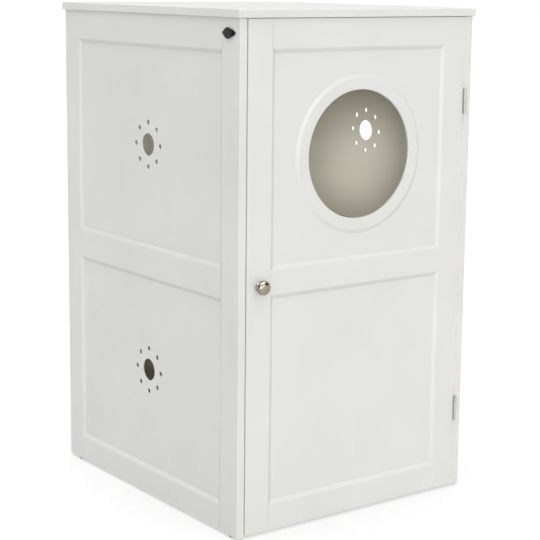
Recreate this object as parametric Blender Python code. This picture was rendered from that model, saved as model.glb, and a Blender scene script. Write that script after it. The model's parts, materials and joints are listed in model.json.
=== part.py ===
"""Two-storey cabinet for a small pet, white lacquered fibreboard, 0.90 m tall.

The carcass is two framed sides, a top, a floor, a middle shelf with a way down, and a thin back.
The door covers the whole front, hangs on two butt hinges at the right, and has a round way in.
Lengths are in metres. The cabinet's own frame has X to the right as seen from the front, the front
facing -Y, Z up, and its origin on the floor under the middle of the carcass.
"""

import math

import bmesh
import bpy
from mathutils import Matrix, Vector

GAP = 0.0003  # air between pieces that touch
OVERSHOOT = 0.002  # how far a cutter runs out past the face it opens

# Carcass
HEIGHT = 0.900
WIDTH = 0.516
DEPTH = 0.580
BOARD = 0.015  # thickness of sides, shelf, floor and door
TOP_THICKNESS = 0.0145
TOP_OVERHANG = 0.004
GLIDE_HEIGHT = 0.003
FLOOR_HEIGHT = 0.012  # underside of the floor board
SHELF_HEIGHT = 0.430  # underside of the middle shelf
INNER_FRONT = -0.272  # front edge of floor and shelf, just behind the door
HOUSING_DEPTH = 0.0035  # how far floor and shelf are let into the sides
BACK_THICKNESS = 0.004
BACK_INSET = 0.007  # from the rear edge of the sides to the back's outer face
BACK_GROOVE = 0.005

# Frame-and-panel work, the same on both sides and on the door. The slope runs along the whole
# inner edge of each stile, and the rails' ends are coped to lie over it.
RECESS = 0.0035  # how far a panel lies below the face of its frame
BEVEL_RUN = 0.008  # width of the sloping edge round each panel
TONGUE_START = 0.0048  # from the frame's face to the tongue
TONGUE_LENGTH = 0.0075
RAIL_TONGUE_THICKNESS = 0.0044
PANEL_BACK = 0.0065  # from the frame's face to the panel's and its tongue's back

# Side frames: inner edges of the members
SIDE_STILE_INNER = 0.2325  # distance of the stile's inner edge from the middle
SIDE_LOWER = (0.0580, 0.4075)
SIDE_UPPER = (0.4740, 0.8260)

# Vents in the side panels
VENT_Y = -0.002
VENT_UPPER_Z = 0.654
VENT_LOWER_Z = 0.239
VENT_HOLE_RADIUS = 0.020
VENT_RING_RADIUS = 0.040
VENT_SMALL_RADIUS = 0.0045
VENT_SMALL_COUNT = 8

# Door
DOOR_SIDE_GAP = 0.0022
DOOR_BOTTOM = 0.0045
DOOR_TOP = 0.8851
DOOR_STILE_INNER = 0.184
DOOR_LOWER = (0.0590, 0.4145)
DOOR_UPPER = (0.4725, 0.8280)
WAY_IN_Z = 0.650
WAY_IN_RADIUS = 0.112
SLEEVE_RADIUS = 0.118
COLLAR_TOP_RADIUS = 0.1325
COLLAR_FOOT_RADIUS = 0.1395
COLLAR_INSET = 0.0010  # from the door's face back to the collar's

# Way down through the middle shelf
PASSAGE_CENTRE = (0.115, 0.140)
PASSAGE_SIZE = 0.220
PASSAGE_CORNER = 0.050

# Knob
KNOB_X = -0.215
KNOB_Z = 0.4395
KNOB_REACH = 0.021
KNOB_RADIUS = 0.0125
KNOB_PROFILE = (  # distance out from the door, radius
    (0.0003, 0.0080), (0.0015, 0.0078), (0.0032, 0.0062), (0.0058, 0.0060), (0.0075, 0.0085),
    (0.0090, 0.0112), (0.0110, KNOB_RADIUS), (0.0155, KNOB_RADIUS), (0.0185, 0.0116),
    (0.0202, 0.0096), (0.0208, 0.0070), (KNOB_REACH, 0.0020),
)

# Hinges
HINGE_CENTRES = {"upper": 0.733, "lower": 0.154}
HINGE_HEIGHT = 0.046
KNUCKLES = 5
KNUCKLE_RADIUS = 0.003
BARREL_STEPS = 18
HINGE_PROUD = 0.003  # from the door's face out to the pin's axis
PIN_RADIUS = 0.0012
PIN_BORE = 0.00145
PIN_HEAD_RADIUS = 0.0024
PIN_HEAD_HEIGHT = 0.0015
LEAF_THICKNESS = 0.0006
LEAF_FROM_AXIS = 0.0002
LEAF_END_Y = -0.2767
LEAF_SCREW_Y = -0.2820
LEAF_SCREW_RISE = 0.0145

# Screws: head radius, shank radius and length below the surface
SCREW_HEAD = 0.0027
SCREW_SHANK = 0.0013
SCREW_LENGTH = 0.0115
SCREW_POINT = 0.002
SCREW_SINK = 0.0001  # from the surface down to the head
KNOB_SCREW_HEAD = 0.0040
KNOB_SCREW_SHANK = 0.0020
KNOB_SCREW_BITE = 0.008  # how far it runs into the knob

# Hanging peg on the left side
PEG_Y = -0.260
PEG_Z = 0.861
PEG_FLANGE_HALF = 0.0190
PEG_FLANGE_HALF_HEIGHT = 0.0070
PEG_FLANGE_SQUEEZE = 0.25  # how much narrower than an ellipse it gets towards its tips
PEG_FLANGE_THICKNESS = 0.0012
PEG_HEAD_HALF = 0.0122  # the head is oval, and longer than it is high
PEG_REACH = 0.0046
PEG_HEAD_PROFILE = (  # distance out from the side, half height
    (0.0006, 0.0075), (0.0020, 0.0080), (0.0028, 0.0094), (0.0034, 0.0092), (0.0041, 0.0078),
    (PEG_REACH, 0.0050),
)
PEG_SCREW_OFFSET = 0.0156
PEG_SCREW_HEAD = 0.0021
PEG_SCREW_SHANK = 0.0011

# Magnetic catch under the shelf
CATCH_X = -0.150
CATCH_BLOCK = (0.026, 0.016, 0.013)
CATCH_EAR = 0.010
CATCH_EAR_HEIGHT = 0.003
CATCH_FRONT = -0.2728
MAGNET = (0.018, 0.012, 0.005)
MAGNET_FRONT = -0.2734
MAGNET_DROP = 0.0047  # from the top of the catch down to the middle of the magnet
STRIKE = (0.030, 0.001, 0.012)

# Glides and dowels
GLIDE_RADIUS = 0.007
GLIDE_CHAMFER = 0.0012
GLIDE_NAIL_RADIUS = 0.001
GLIDE_NAIL_LENGTH = 0.012
GLIDE_Y = {"front": -0.268, "back": 0.254}
DOWEL_RADIUS = 0.004
DOWEL_CHAMFER = 0.001
DOWEL_IN_TOP = 0.008
DOWEL_IN_SIDE = 0.020
DOWEL_Y = 0.262

# Derived places
HALF_WIDTH = WIDTH / 2
HALF_DEPTH = DEPTH / 2
FRONT = -HALF_DEPTH
SIDE_TOP = HEIGHT - TOP_THICKNESS
INNER_X = HALF_WIDTH - BOARD
SIDE_MIDDLE_X = HALF_WIDTH - BOARD / 2
DOOR_EDGE = INNER_X - DOOR_SIDE_GAP
DOOR_BACK = FRONT + BOARD
BACK_OUTER = HALF_DEPTH - BACK_INSET
BACK_INNER = BACK_OUTER - BACK_THICKNESS
COPE_GAP = GAP * math.hypot(BEVEL_RUN, RECESS) / RECESS  # it leaves GAP across the slope
SHELF_HALF = INNER_X + HOUSING_DEPTH - GAP
HINGE_AXIS = Vector((INNER_X - DOOR_SIDE_GAP / 2, FRONT - HINGE_PROUD, 0))
LEFT, RIGHT = -1, 1
SIDES = {"left": LEFT, "right": RIGHT}

# The middle of the whole outline, knob, peg and top board included
OUTLINE_MIDDLE = Vector((
    (TOP_OVERHANG - PEG_REACH - GAP) / 2,
    (TOP_OVERHANG - KNOB_REACH) / 2,
    0,
))

# Colour, roughness and metallic value of each finish
FINISHES = {
    "white_lacquer": ((0.84, 0.84, 0.82), 0.42, 0.0),
    "grey_hardboard": ((0.72, 0.70, 0.65), 0.60, 0.0),
    "steel": ((0.55, 0.54, 0.52), 0.32, 1.0),
    "nickel": ((0.66, 0.63, 0.58), 0.12, 1.0),
    "magnet": ((0.10, 0.10, 0.10), 0.50, 0.6),
    "black_plastic": ((0.018, 0.018, 0.018), 0.35, 0.0),
    "white_plastic": ((0.80, 0.80, 0.78), 0.40, 0.0),
    "grey_plastic": ((0.16, 0.16, 0.16), 0.50, 0.0),
    "beech": ((0.62, 0.46, 0.29), 0.65, 0.0),
}


# Scene ------------------------------------------------------------------------------------------


def clear_scene():
    for obj in list(bpy.data.objects):
        bpy.data.objects.remove(obj)


def empty(name, location, parent=None):
    obj = bpy.data.objects.new(name, None)
    obj.location = location
    obj.parent = parent
    bpy.context.scene.collection.objects.link(obj)
    return obj


def material(name, finish):
    colour, roughness, metallic = FINISHES[finish]
    made = bpy.data.materials.new(name)
    made.use_nodes = True
    shader = made.node_tree.nodes["Principled BSDF"]
    shader.inputs["Base Color"].default_value = (*colour, 1)
    shader.inputs["Roughness"].default_value = roughness
    shader.inputs["Metallic"].default_value = metallic
    made.diffuse_color = (*colour, 1)
    return made


def mesh_from_loops(name, loops, ring=False):
    """A closed mesh skinned over loops of points; a ring joins its last loop to its first."""
    mesh = bmesh.new()
    rows = [[mesh.verts.new(point) for point in loop] for loop in loops]
    following = rows[1:] + rows[:1] if ring else rows[1:]
    for row, after in zip(rows, following):
        for i in range(len(row)):
            j = (i + 1) % len(row)
            mesh.faces.new((row[i], row[j], after[j], after[i]))
    if not ring:
        mesh.faces.new(rows[0])
        mesh.faces.new(rows[-1])
    bmesh.ops.recalc_face_normals(mesh, faces=mesh.faces)
    data = bpy.data.meshes.new(name)
    mesh.to_mesh(data)
    mesh.free()
    return data


def add(name, loops, finish, parent, ring=False, smooth=False):
    """An object whose origin is the middle of its box; loops are in the cabinet's frame."""
    data = mesh_from_loops(name, loops, ring)
    points = [vertex.co for vertex in data.vertices]
    low = Vector(map(min, zip(*points)))
    high = Vector(map(max, zip(*points)))
    middle = (low + high) / 2
    data.transform(Matrix.Translation(-middle))
    if smooth:
        data.shade_smooth()
        data.set_sharp_from_angle(angle=math.radians(35))
    obj = bpy.data.objects.new(name, data)
    obj.parent = parent
    obj.location = middle - (HINGE_AXIS if parent.name == "door_pivot" else Vector())
    if finish:
        data.materials.append(material(name + "_finish", finish))
    bpy.context.scene.collection.objects.link(obj)
    return obj


def cutter(name, loops, parent):
    obj = add(name, loops, None, parent)
    obj.hide_render = True
    obj.display_type = "WIRE"
    return obj


def cut(obj, cutters):
    for tool in cutters:
        modifier = obj.modifiers.new(tool.name, "BOOLEAN")
        modifier.operation = "DIFFERENCE"
        modifier.solver = "EXACT"
        modifier.object = tool


# Loops of points --------------------------------------------------------------------------------


def box(low, high):
    """The two square loops of a box."""
    (x0, y0, z0), (x1, y1, z1) = low, high
    x0, x1 = sorted((x0, x1))
    return [[(x0, y0, z), (x1, y0, z), (x1, y1, z), (x0, y1, z)] for z in (z0, z1)]


def circle(centre, axis, radius, segments):
    """Points round a circle that faces along one of the three axes, "X", "Y" or "Z"."""
    points = []
    for i in range(segments):
        angle = 2 * math.pi * (i + 0.5) / segments
        a, b = radius * math.cos(angle), radius * math.sin(angle)
        offset = {"X": (0, a, b), "Y": (a, 0, b), "Z": (a, b, 0)}[axis]
        points.append(Vector(centre) + Vector(offset))
    return points


def turned(start, direction, axis, profile, segments):
    """Circles along an axis from a profile of (distance along it, radius)."""
    along = Vector((axis == "X", axis == "Y", axis == "Z")) * direction
    return [circle(Vector(start) + along * run, axis, radius, segments) for run, radius in profile]


def rectangle(place, u, depth, z):
    """The corners of an upright rectangle at one depth below a framed face."""
    return [place(u[0], depth, z[0]), place(u[1], depth, z[0]),
            place(u[1], depth, z[1]), place(u[0], depth, z[1])]


def grown(span, amount):
    return span[0] - amount, span[1] + amount


# Frame-and-panel work ---------------------------------------------------------------------------


def side_place(side):
    """Places a point by its Y, its depth below the side's outer face, and its height."""
    return lambda u, depth, z: Vector((side * (HALF_WIDTH - depth), u, z))


def door_place(u, depth, z):
    return Vector((u, FRONT + depth, z))


def panel_loops(place, u, z):
    """A thin panel, rebated in front on all four edges so that a tongue is left at its back."""
    body_u, body_z = grown(u, -GAP), grown(z, -GAP)
    wide_u, wide_z = grown(u, TONGUE_LENGTH), grown(z, TONGUE_LENGTH)
    return [
        rectangle(place, body_u, RECESS, body_z),
        rectangle(place, body_u, TONGUE_START, body_z),
        rectangle(place, wide_u, TONGUE_START, wide_z),
        rectangle(place, wide_u, PANEL_BACK, wide_z),
    ]


def rail_loops(place, u, z):
    """A rail with a tongue at both ends, and a face that reaches out over the stiles' slopes."""
    cope, shoulder, tip = grown(u, BEVEL_RUN - COPE_GAP), grown(u, -GAP), grown(u, TONGUE_LENGTH)
    cope_end = RECESS * (1 - (COPE_GAP - GAP) / BEVEL_RUN)
    tongue_end = TONGUE_START + RAIL_TONGUE_THICKNESS
    steps = [
        (cope, 0), (shoulder, cope_end), (shoulder, TONGUE_START), (tip, TONGUE_START),
        (tip, tongue_end), (shoulder, tongue_end), (shoulder, BOARD),
    ]
    outline = [(ends[0], depth) for ends, depth in steps]
    outline += [(ends[1], depth) for ends, depth in reversed(steps)]
    return [[place(at, depth, height) for at, depth in outline] for height in z]


def groove_loops(place, u, z, end):
    """The groove for tongues that end at a depth: as wide and high as u and z say."""
    return [rectangle(place, u, depth, z) for depth in grown((TONGUE_START, end), GAP)]


def slope_spread(depth):
    """How far the slope lies outside the opening at a depth below the frame's face."""
    return BEVEL_RUN * (1 - depth / RECESS)


def opening_slope_loops(place, u, z):
    """The slope round an opening, mitred in its corners, cut from the rails."""
    def at(depth):
        spread = slope_spread(depth)
        return rectangle(place, grown(u, spread), depth, grown(z, spread))

    return [at(-OVERSHOOT), at(RECESS + OVERSHOOT / 2)]


def stile_slope_loops(place, u, z):
    """The slope along the whole length of both stiles."""
    top, foot = -OVERSHOOT, RECESS + OVERSHOOT / 2
    wide, narrow = grown(u, slope_spread(top)), grown(u, slope_spread(foot))
    section = [(wide[0], top), (wide[1], top), (narrow[1], foot), (narrow[0], foot)]
    return [[place(at, depth, height) for at, depth in section] for height in grown(z, OVERSHOOT)]


def framed(prefix, place, width, height, inner, spans, parent, names):
    """Stiles, rails and panels of one framed board. Returns the objects by their short names."""
    lower, upper = spans
    u = (-inner, inner)
    grooved = grown(u, TONGUE_LENGTH + GAP)
    openings = {"lower": lower, "upper": upper}
    rail_tongue_end = TONGUE_START + RAIL_TONGUE_THICKNESS
    rails = {
        "bottom_rail": ((height[0], lower[0]), ("lower",)),
        "mid_rail": ((lower[1], upper[0]), ("lower", "upper")),
        "top_rail": ((upper[1], height[1]), ("upper",)),
    }
    grooves, slopes = {}, {}
    for name, span in openings.items():
        loops = groove_loops(place, grooved, grown(span, TONGUE_LENGTH + GAP), PANEL_BACK)
        grooves[name] = cutter(f"{prefix}_{name}_groove_cutter", loops, parent)
        loops = opening_slope_loops(place, u, span)
        slopes[name] = cutter(f"{prefix}_{name}_slope_cutter", loops, parent)
    loops = stile_slope_loops(place, u, height)
    stile_tools = [cutter(f"{prefix}_stile_slope_cutter", loops, parent)]
    for name, (span, _) in rails.items():
        loops = groove_loops(place, grooved, grown(span, GAP), rail_tongue_end)
        stile_tools.append(cutter(f"{prefix}_{name}_socket_cutter", loops, parent))

    made = {}
    for name, edges in zip(names, ((width[0], -inner), (inner, width[1]))):
        loops = [rectangle(place, edges, depth, height) for depth in (0, BOARD)]
        made[name] = add(f"{prefix}_{name}", loops, "white_lacquer", parent)
        cut(made[name], [*stile_tools, *grooves.values()])
    for name, (span, beside) in rails.items():
        made[name] = add(f"{prefix}_{name}", rail_loops(place, u, span), "white_lacquer", parent)
        cut(made[name], [tools[key] for key in beside for tools in (grooves, slopes)])
    for name, span in openings.items():
        label = name + "_panel"
        made[label] = add(f"{prefix}_{label}", panel_loops(place, u, span), "white_lacquer", parent)
    return made


# Screws -----------------------------------------------------------------------------------------


def screw(name, face, direction, axis, parent, head=SCREW_HEAD, shank=SCREW_SHANK,
          length=SCREW_LENGTH, finish="steel", segments=12):
    """A countersunk screw set flush in a face, and the cutter for the hole that holds it.

    The face's point is where the screw's axis meets it, and direction is the way the screw runs.
    """
    cone = head - shank
    profile = [(SCREW_SINK, head), (cone, shank), (length - SCREW_POINT, shank), (length, shank / 4)]
    obj = add(name, turned(face, direction, axis, profile, segments), finish, parent, smooth=True)
    clear = GAP / math.cos(math.pi / segments)
    hole = [(-OVERSHOOT, head + clear + OVERSHOOT), (cone, shank + clear), (length + GAP, shank + clear)]
    tool = cutter(name + "_hole_cutter", turned(face, direction, axis, hole, segments), parent)
    return obj, tool


# Carcass ----------------------------------------------------------------------------------------


def build_vent_cutters(prefix, side, height, parent):
    """The cutters of one large hole and of the small ones evenly round it."""
    cutters = []
    outside = side * (HALF_WIDTH + OVERSHOOT)
    run = BOARD + 2 * OVERSHOOT
    start = (outside, VENT_Y, height)
    profile = [(0, VENT_HOLE_RADIUS), (run, VENT_HOLE_RADIUS)]
    cutters.append(cutter(f"{prefix}_vent_cutter", turned(start, -side, "X", profile, 24), parent))
    for i in range(VENT_SMALL_COUNT):
        angle = 2 * math.pi * i / VENT_SMALL_COUNT
        start = (outside, VENT_Y + VENT_RING_RADIUS * math.sin(angle),
                 height + VENT_RING_RADIUS * math.cos(angle))
        profile = [(0, VENT_SMALL_RADIUS), (run, VENT_SMALL_RADIUS)]
        loops = turned(start, -side, "X", profile, 10)
        cutters.append(cutter(f"{prefix}_vent_cutter_{i}", loops, parent))
    return cutters


def build_side(name, side, cabinet):
    members = framed(
        name, side_place(side), (-HALF_DEPTH, HALF_DEPTH), (GLIDE_HEIGHT, SIDE_TOP),
        SIDE_STILE_INNER, (SIDE_LOWER, SIDE_UPPER), cabinet, ("front_stile", "back_stile"),
    )
    inner, beyond = side * INNER_X, side * (INNER_X - OVERSHOOT)
    housing = side * (INNER_X + HOUSING_DEPTH)
    housings = {}
    for board, base in (("floor", FLOOR_HEIGHT), ("shelf", SHELF_HEIGHT)):
        low = (housing, INNER_FRONT - GAP, base - GAP)
        high = (beyond, BACK_OUTER + GAP, base + BOARD + GAP)
        housings[board] = cutter(f"{name}_{board}_housing_cutter", box(low, high), cabinet)
    for member, boards in (("front_stile", ("floor", "shelf")), ("back_stile", ("floor", "shelf")),
                           ("bottom_rail", ("floor",)), ("mid_rail", ("shelf",))):
        cut(members[member], [housings[board] for board in boards])
    groove = box((inner + side * BACK_GROOVE, BACK_INNER - GAP, -OVERSHOOT),
                 (beyond, BACK_OUTER + GAP, HEIGHT))
    cut(members["back_stile"], [cutter(f"{name}_back_groove_cutter", groove, cabinet)])
    for panel, height in (("upper_panel", VENT_UPPER_Z), ("lower_panel", VENT_LOWER_Z)):
        cut(members[panel], build_vent_cutters(f"{name}_{panel}", side, height, cabinet))
    return members


def build_boards(cabinet):
    top = add("top_board", box((-HALF_WIDTH - TOP_OVERHANG, FRONT - TOP_OVERHANG, SIDE_TOP + GAP),
                               (HALF_WIDTH + TOP_OVERHANG, HALF_DEPTH + TOP_OVERHANG, HEIGHT)),
              "white_lacquer", cabinet)
    rear = BACK_INNER - GAP
    add("floor_board", box((-SHELF_HALF, INNER_FRONT, FLOOR_HEIGHT),
                           (SHELF_HALF, rear, FLOOR_HEIGHT + BOARD)), "white_lacquer", cabinet)
    shelf = add("middle_shelf", box((-SHELF_HALF, INNER_FRONT, SHELF_HEIGHT),
                                    (SHELF_HALF, rear, SHELF_HEIGHT + BOARD)),
                "white_lacquer", cabinet)
    cut(shelf, [cutter("passage_cutter", passage_loops(), cabinet)])
    back_half = INNER_X + BACK_GROOVE - GAP
    add("back_panel", box((-back_half, BACK_INNER, FLOOR_HEIGHT / 2),
                          (back_half, BACK_OUTER, SIDE_TOP - GAP)), "grey_hardboard", cabinet)
    return top, shelf


def passage_loops():
    """A square with round corners, longer than the shelf is thick."""
    straight = PASSAGE_SIZE / 2 - PASSAGE_CORNER
    quarter, steps = math.pi / 2, 6
    outline = []
    for corner in range(4):
        sign_x = 1 if corner in (0, 3) else -1
        sign_y = 1 if corner in (0, 1) else -1
        for step in range(steps + 1):
            angle = quarter * (corner + step / steps)
            outline.append((PASSAGE_CENTRE[0] + sign_x * straight + PASSAGE_CORNER * math.cos(angle),
                            PASSAGE_CENTRE[1] + sign_y * straight + PASSAGE_CORNER * math.sin(angle)))
    heights = grown((SHELF_HEIGHT, SHELF_HEIGHT + BOARD), OVERSHOOT)
    return [[(x, y, z) for x, y in outline] for z in heights]


def build_dowels(top, sides, cabinet):
    """Wooden dowels that fix the top board to the four stiles."""
    base = SIDE_TOP - DOWEL_IN_SIDE
    length = DOWEL_IN_SIDE + DOWEL_IN_TOP
    for name, side in SIDES.items():
        for end, sign in (("front", -1), ("back", 1)):
            place = (side * SIDE_MIDDLE_X, sign * DOWEL_Y, base)
            tip = DOWEL_RADIUS - DOWEL_CHAMFER
            profile = [(0, tip), (DOWEL_CHAMFER, DOWEL_RADIUS), (length - DOWEL_CHAMFER, DOWEL_RADIUS),
                       (length, tip)]
            label = f"{name}_{end}_dowel"
            add(label, turned(place, 1, "Z", profile, 12), "beech", cabinet, smooth=True)
            wide = DOWEL_RADIUS + GAP
            hole = turned(place, 1, "Z", [(-GAP, wide), (length + GAP, wide)], 12)
            tool = cutter(label + "_hole_cutter", hole, cabinet)
            cut(top, [tool])
            cut(sides[name][end + "_stile"], [tool])


def build_glides(sides, cabinet):
    """Nail-on glides under the ends of both sides."""
    disc = GLIDE_HEIGHT - GAP
    for name, side in SIDES.items():
        for end, y in GLIDE_Y.items():
            place = (side * SIDE_MIDDLE_X, y, 0)
            profile = [(0, GLIDE_RADIUS - GLIDE_CHAMFER), (GLIDE_CHAMFER, GLIDE_RADIUS),
                       (disc, GLIDE_RADIUS), (disc, GLIDE_NAIL_RADIUS),
                       (disc + GLIDE_NAIL_LENGTH, GLIDE_NAIL_RADIUS / 2)]
            label = f"{name}_{end}_glide"
            add(label, turned(place, 1, "Z", profile, 16), "grey_plastic", cabinet, smooth=True)
            wide = GLIDE_NAIL_RADIUS + GAP
            hole = turned(place, 1, "Z", [(0, wide), (disc + GLIDE_NAIL_LENGTH + GAP, wide)], 8)
            cut(sides[name][end + "_stile"], [cutter(label + "_hole_cutter", hole, cabinet)])


def build_peg(stile, cabinet):
    """A low hanging peg: an oval head on a lens-shaped flange, and two screws."""
    face = -HALF_WIDTH - GAP
    flange_face = face - PEG_FLANGE_THICKNESS
    stretch = PEG_HEAD_HALF / max(radius for _, radius in PEG_HEAD_PROFILE)
    loops = turned((face, 0, PEG_Z), -1, "X", PEG_HEAD_PROFILE, 24)
    loops = [[(x, PEG_Y + stretch * y, z) for x, y, z in loop] for loop in loops]
    button = add("peg_button_form", loops, None, cabinet)
    button.hide_render = True
    button.display_type = "WIRE"

    outline = []
    steps = 24
    for i in range(steps):
        angle = 2 * math.pi * (i + 0.5) / steps
        along, up = math.cos(angle), math.sin(angle)
        squeeze = 1 - PEG_FLANGE_SQUEEZE * along * along
        outline.append((PEG_Y + PEG_FLANGE_HALF * along,
                        PEG_Z + PEG_FLANGE_HALF_HEIGHT * up * squeeze))
    loops = [[(x, y, z) for y, z in outline] for x in (face, flange_face)]
    peg = add("hanging_peg", loops, "black_plastic", cabinet, smooth=True)
    join = peg.modifiers.new("button", "BOOLEAN")
    join.operation = "UNION"
    join.solver = "EXACT"
    join.object = button
    for end, sign in (("front", -1), ("back", 1)):
        place = (flange_face, PEG_Y + sign * PEG_SCREW_OFFSET, PEG_Z)
        _, tool = screw(f"peg_{end}_screw", place, 1, "X", cabinet, head=PEG_SCREW_HEAD,
                        shank=PEG_SCREW_SHANK, finish="black_plastic")
        cut(peg, [tool])
        cut(stile, [tool])


def build_catch(shelf, door_rail, cabinet, pivot):
    """A magnetic catch under the shelf, and its strike plate on the back of the door."""
    block_x, block_y, block_z = CATCH_BLOCK
    top = SHELF_HEIGHT - GAP
    rear = CATCH_FRONT + block_y
    half, reach = block_x / 2, block_x / 2 + CATCH_EAR
    ear = top - CATCH_EAR_HEIGHT
    outline = [(-reach, top), (reach, top), (reach, ear), (half, ear),
               (half, top - block_z), (-half, top - block_z), (-half, ear), (-reach, ear)]
    loops = [[(CATCH_X + x, y, z) for x, z in outline] for y in (CATCH_FRONT, rear)]
    housing = add("catch_housing", loops, "white_plastic", cabinet)

    middle_z = top - MAGNET_DROP
    size_x, size_y, size_z = MAGNET
    low = Vector((CATCH_X - size_x / 2, MAGNET_FRONT, middle_z - size_z / 2))
    high = low + Vector((size_x, size_y, size_z))
    add("catch_magnet", box(low, high), "magnet", cabinet)
    margin = Vector((GAP, GAP, GAP))
    pocket = cutter("magnet_pocket_cutter", box(low - margin, high + margin), cabinet)
    cut(housing, [pocket])
    for end, sign in (("left", -1), ("right", 1)):
        place = (CATCH_X + sign * (half + CATCH_EAR / 2), (CATCH_FRONT + rear) / 2, ear)
        _, tool = screw(f"catch_{end}_screw", place, 1, "Z", cabinet)
        cut(housing, [tool])
        cut(shelf, [tool])

    strike_x, strike_y, strike_z = STRIKE
    plate_front = DOOR_BACK + GAP
    low = (CATCH_X - strike_x / 2, plate_front, middle_z - strike_z / 2)
    high = (CATCH_X + strike_x / 2, plate_front + strike_y, middle_z + strike_z / 2)
    strike = add("strike_plate", box(low, high), "steel", pivot)
    place = (CATCH_X, plate_front + strike_y, middle_z)
    _, tool = screw("strike_screw", place, -1, "Y", pivot)
    cut(strike, [tool])
    cut(door_rail, [tool])


# Door -------------------------------------------------------------------------------------------


def build_door(pivot):
    members = framed(
        "door", door_place, (-DOOR_EDGE, DOOR_EDGE), (DOOR_BOTTOM, DOOR_TOP),
        DOOR_STILE_INNER, (DOOR_LOWER, DOOR_UPPER), pivot, ("lock_stile", "hinge_stile"),
    )
    bore = SLEEVE_RADIUS + 2 * GAP
    hole = turned((0, FRONT, WAY_IN_Z), 1, "Y", [(0, bore), (BOARD, bore)], 64)
    cut(members["upper_panel"], [cutter("way_in_cutter", hole, pivot)])
    build_collar(pivot)
    build_knob(members["lock_stile"], pivot)
    return members


def build_collar(pivot):
    """The ring that lines the round way in: a flange on the panel and a sleeve through it."""
    face = FRONT + COLLAR_INSET
    flange_back, sleeve_back = FRONT + RECESS - GAP, FRONT + PANEL_BACK
    profile = [
        (WAY_IN_RADIUS, face), (COLLAR_TOP_RADIUS, face), (COLLAR_FOOT_RADIUS, flange_back),
        (SLEEVE_RADIUS, flange_back), (SLEEVE_RADIUS, sleeve_back), (WAY_IN_RADIUS, sleeve_back),
    ]
    loops = [circle((0, y, WAY_IN_Z), "Y", radius, 64) for radius, y in profile]
    add("way_in_collar", loops, "white_lacquer", pivot, ring=True, smooth=True)


def build_knob(stile, pivot):
    """A turned knob with a machine screw that comes through the door from behind."""
    start = (KNOB_X, FRONT, KNOB_Z)
    knob = add("knob", turned(start, -1, "Y", KNOB_PROFILE, 32), "nickel", pivot, smooth=True)
    place = (KNOB_X, DOOR_BACK, KNOB_Z)
    _, tool = screw("knob_screw", place, -1, "Y", pivot, head=KNOB_SCREW_HEAD,
                    shank=KNOB_SCREW_SHANK, length=BOARD + KNOB_SCREW_BITE)
    cut(stile, [tool])
    cut(knob, [tool])


# Hinges -----------------------------------------------------------------------------------------


def leaf_outline(side):
    """A leaf seen from above, its barrel round the axis and its plate running back from it."""
    near = LEAF_FROM_AXIS
    far = LEAF_FROM_AXIS + LEAF_THICKNESS
    start = math.acos(near / KNUCKLE_RADIUS)
    end = math.acos(far / KNUCKLE_RADIUS) + 2 * math.pi
    points = []
    for i in range(BARREL_STEPS + 1):
        angle = start + (end - start) * i / BARREL_STEPS
        points.append((KNUCKLE_RADIUS * math.cos(angle), KNUCKLE_RADIUS * math.sin(angle)))
    plate_end = LEAF_END_Y - HINGE_AXIS.y
    points += [(far, plate_end), (near, plate_end)]
    return [(HINGE_AXIS.x + side * x, HINGE_AXIS.y + y) for x, y in points]


def build_hinge(name, height, door_stile, side_stile, cabinet, pivot):
    """A butt hinge: two leaves with interlocking knuckles, a pin, and two screws in each leaf."""
    base = height - HINGE_HEIGHT / 2
    knuckle = HINGE_HEIGHT / KNUCKLES
    axis = (HINGE_AXIS.x, HINGE_AXIS.y, base)
    bore_ends = grown((0, HINGE_HEIGHT), OVERSHOOT)
    bore = turned(axis, 1, "Z", [(at, PIN_BORE) for at in bore_ends], 16)

    leaves = (
        ("door_leaf", LEFT, pivot, door_stile, range(0, KNUCKLES, 2)),
        ("frame_leaf", RIGHT, cabinet, side_stile, range(1, KNUCKLES, 2)),
    )
    for leaf_name, side, parent, stile, others in leaves:
        label = f"{name}_hinge_{leaf_name}"
        outline = leaf_outline(side)
        loops = [[(x, y, z) for x, y in outline] for z in (base, base + HINGE_HEIGHT)]
        leaf = add(label, loops, "steel", parent, smooth=True)
        tools = [cutter(label + "_bore_cutter", bore, parent)]
        for i in others:
            # Room for the other leaf's knuckle, all round the axis.
            bottom = base + i * knuckle - (OVERSHOOT if i == 0 else GAP / 2)
            upper = base + (i + 1) * knuckle + (OVERSHOOT if i == KNUCKLES - 1 else GAP / 2)
            wide = KNUCKLE_RADIUS + OVERSHOOT
            low = (HINGE_AXIS.x - wide, HINGE_AXIS.y - wide, bottom)
            high = (HINGE_AXIS.x + wide, HINGE_AXIS.y + KNUCKLE_RADIUS + 2 * GAP, upper)
            tools.append(cutter(f"{label}_notch_cutter_{i}", box(low, high), parent))
        face = HINGE_AXIS.x + side * LEAF_FROM_AXIS
        for end, sign in (("lower", -1), ("upper", 1)):
            place = (face, LEAF_SCREW_Y, height + sign * LEAF_SCREW_RISE)
            _, tool = screw(f"{label}_{end}_screw", place, side, "X", parent)
            tools.append(tool)
            cut(stile, [tool])
        cut(leaf, tools)

    head_base, head_top = HINGE_HEIGHT + GAP, HINGE_HEIGHT + PIN_HEAD_HEIGHT
    profile = [(-GAP, PIN_RADIUS - GAP), (GAP, PIN_RADIUS), (head_base, PIN_RADIUS),
               (head_base, PIN_HEAD_RADIUS), ((head_base + head_top) / 2, PIN_HEAD_RADIUS),
               (head_top, PIN_RADIUS)]
    add(f"{name}_hinge_pin", turned(axis, 1, "Z", profile, 16), "steel", cabinet, smooth=True)


# The whole cabinet ------------------------------------------------------------------------------


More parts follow.
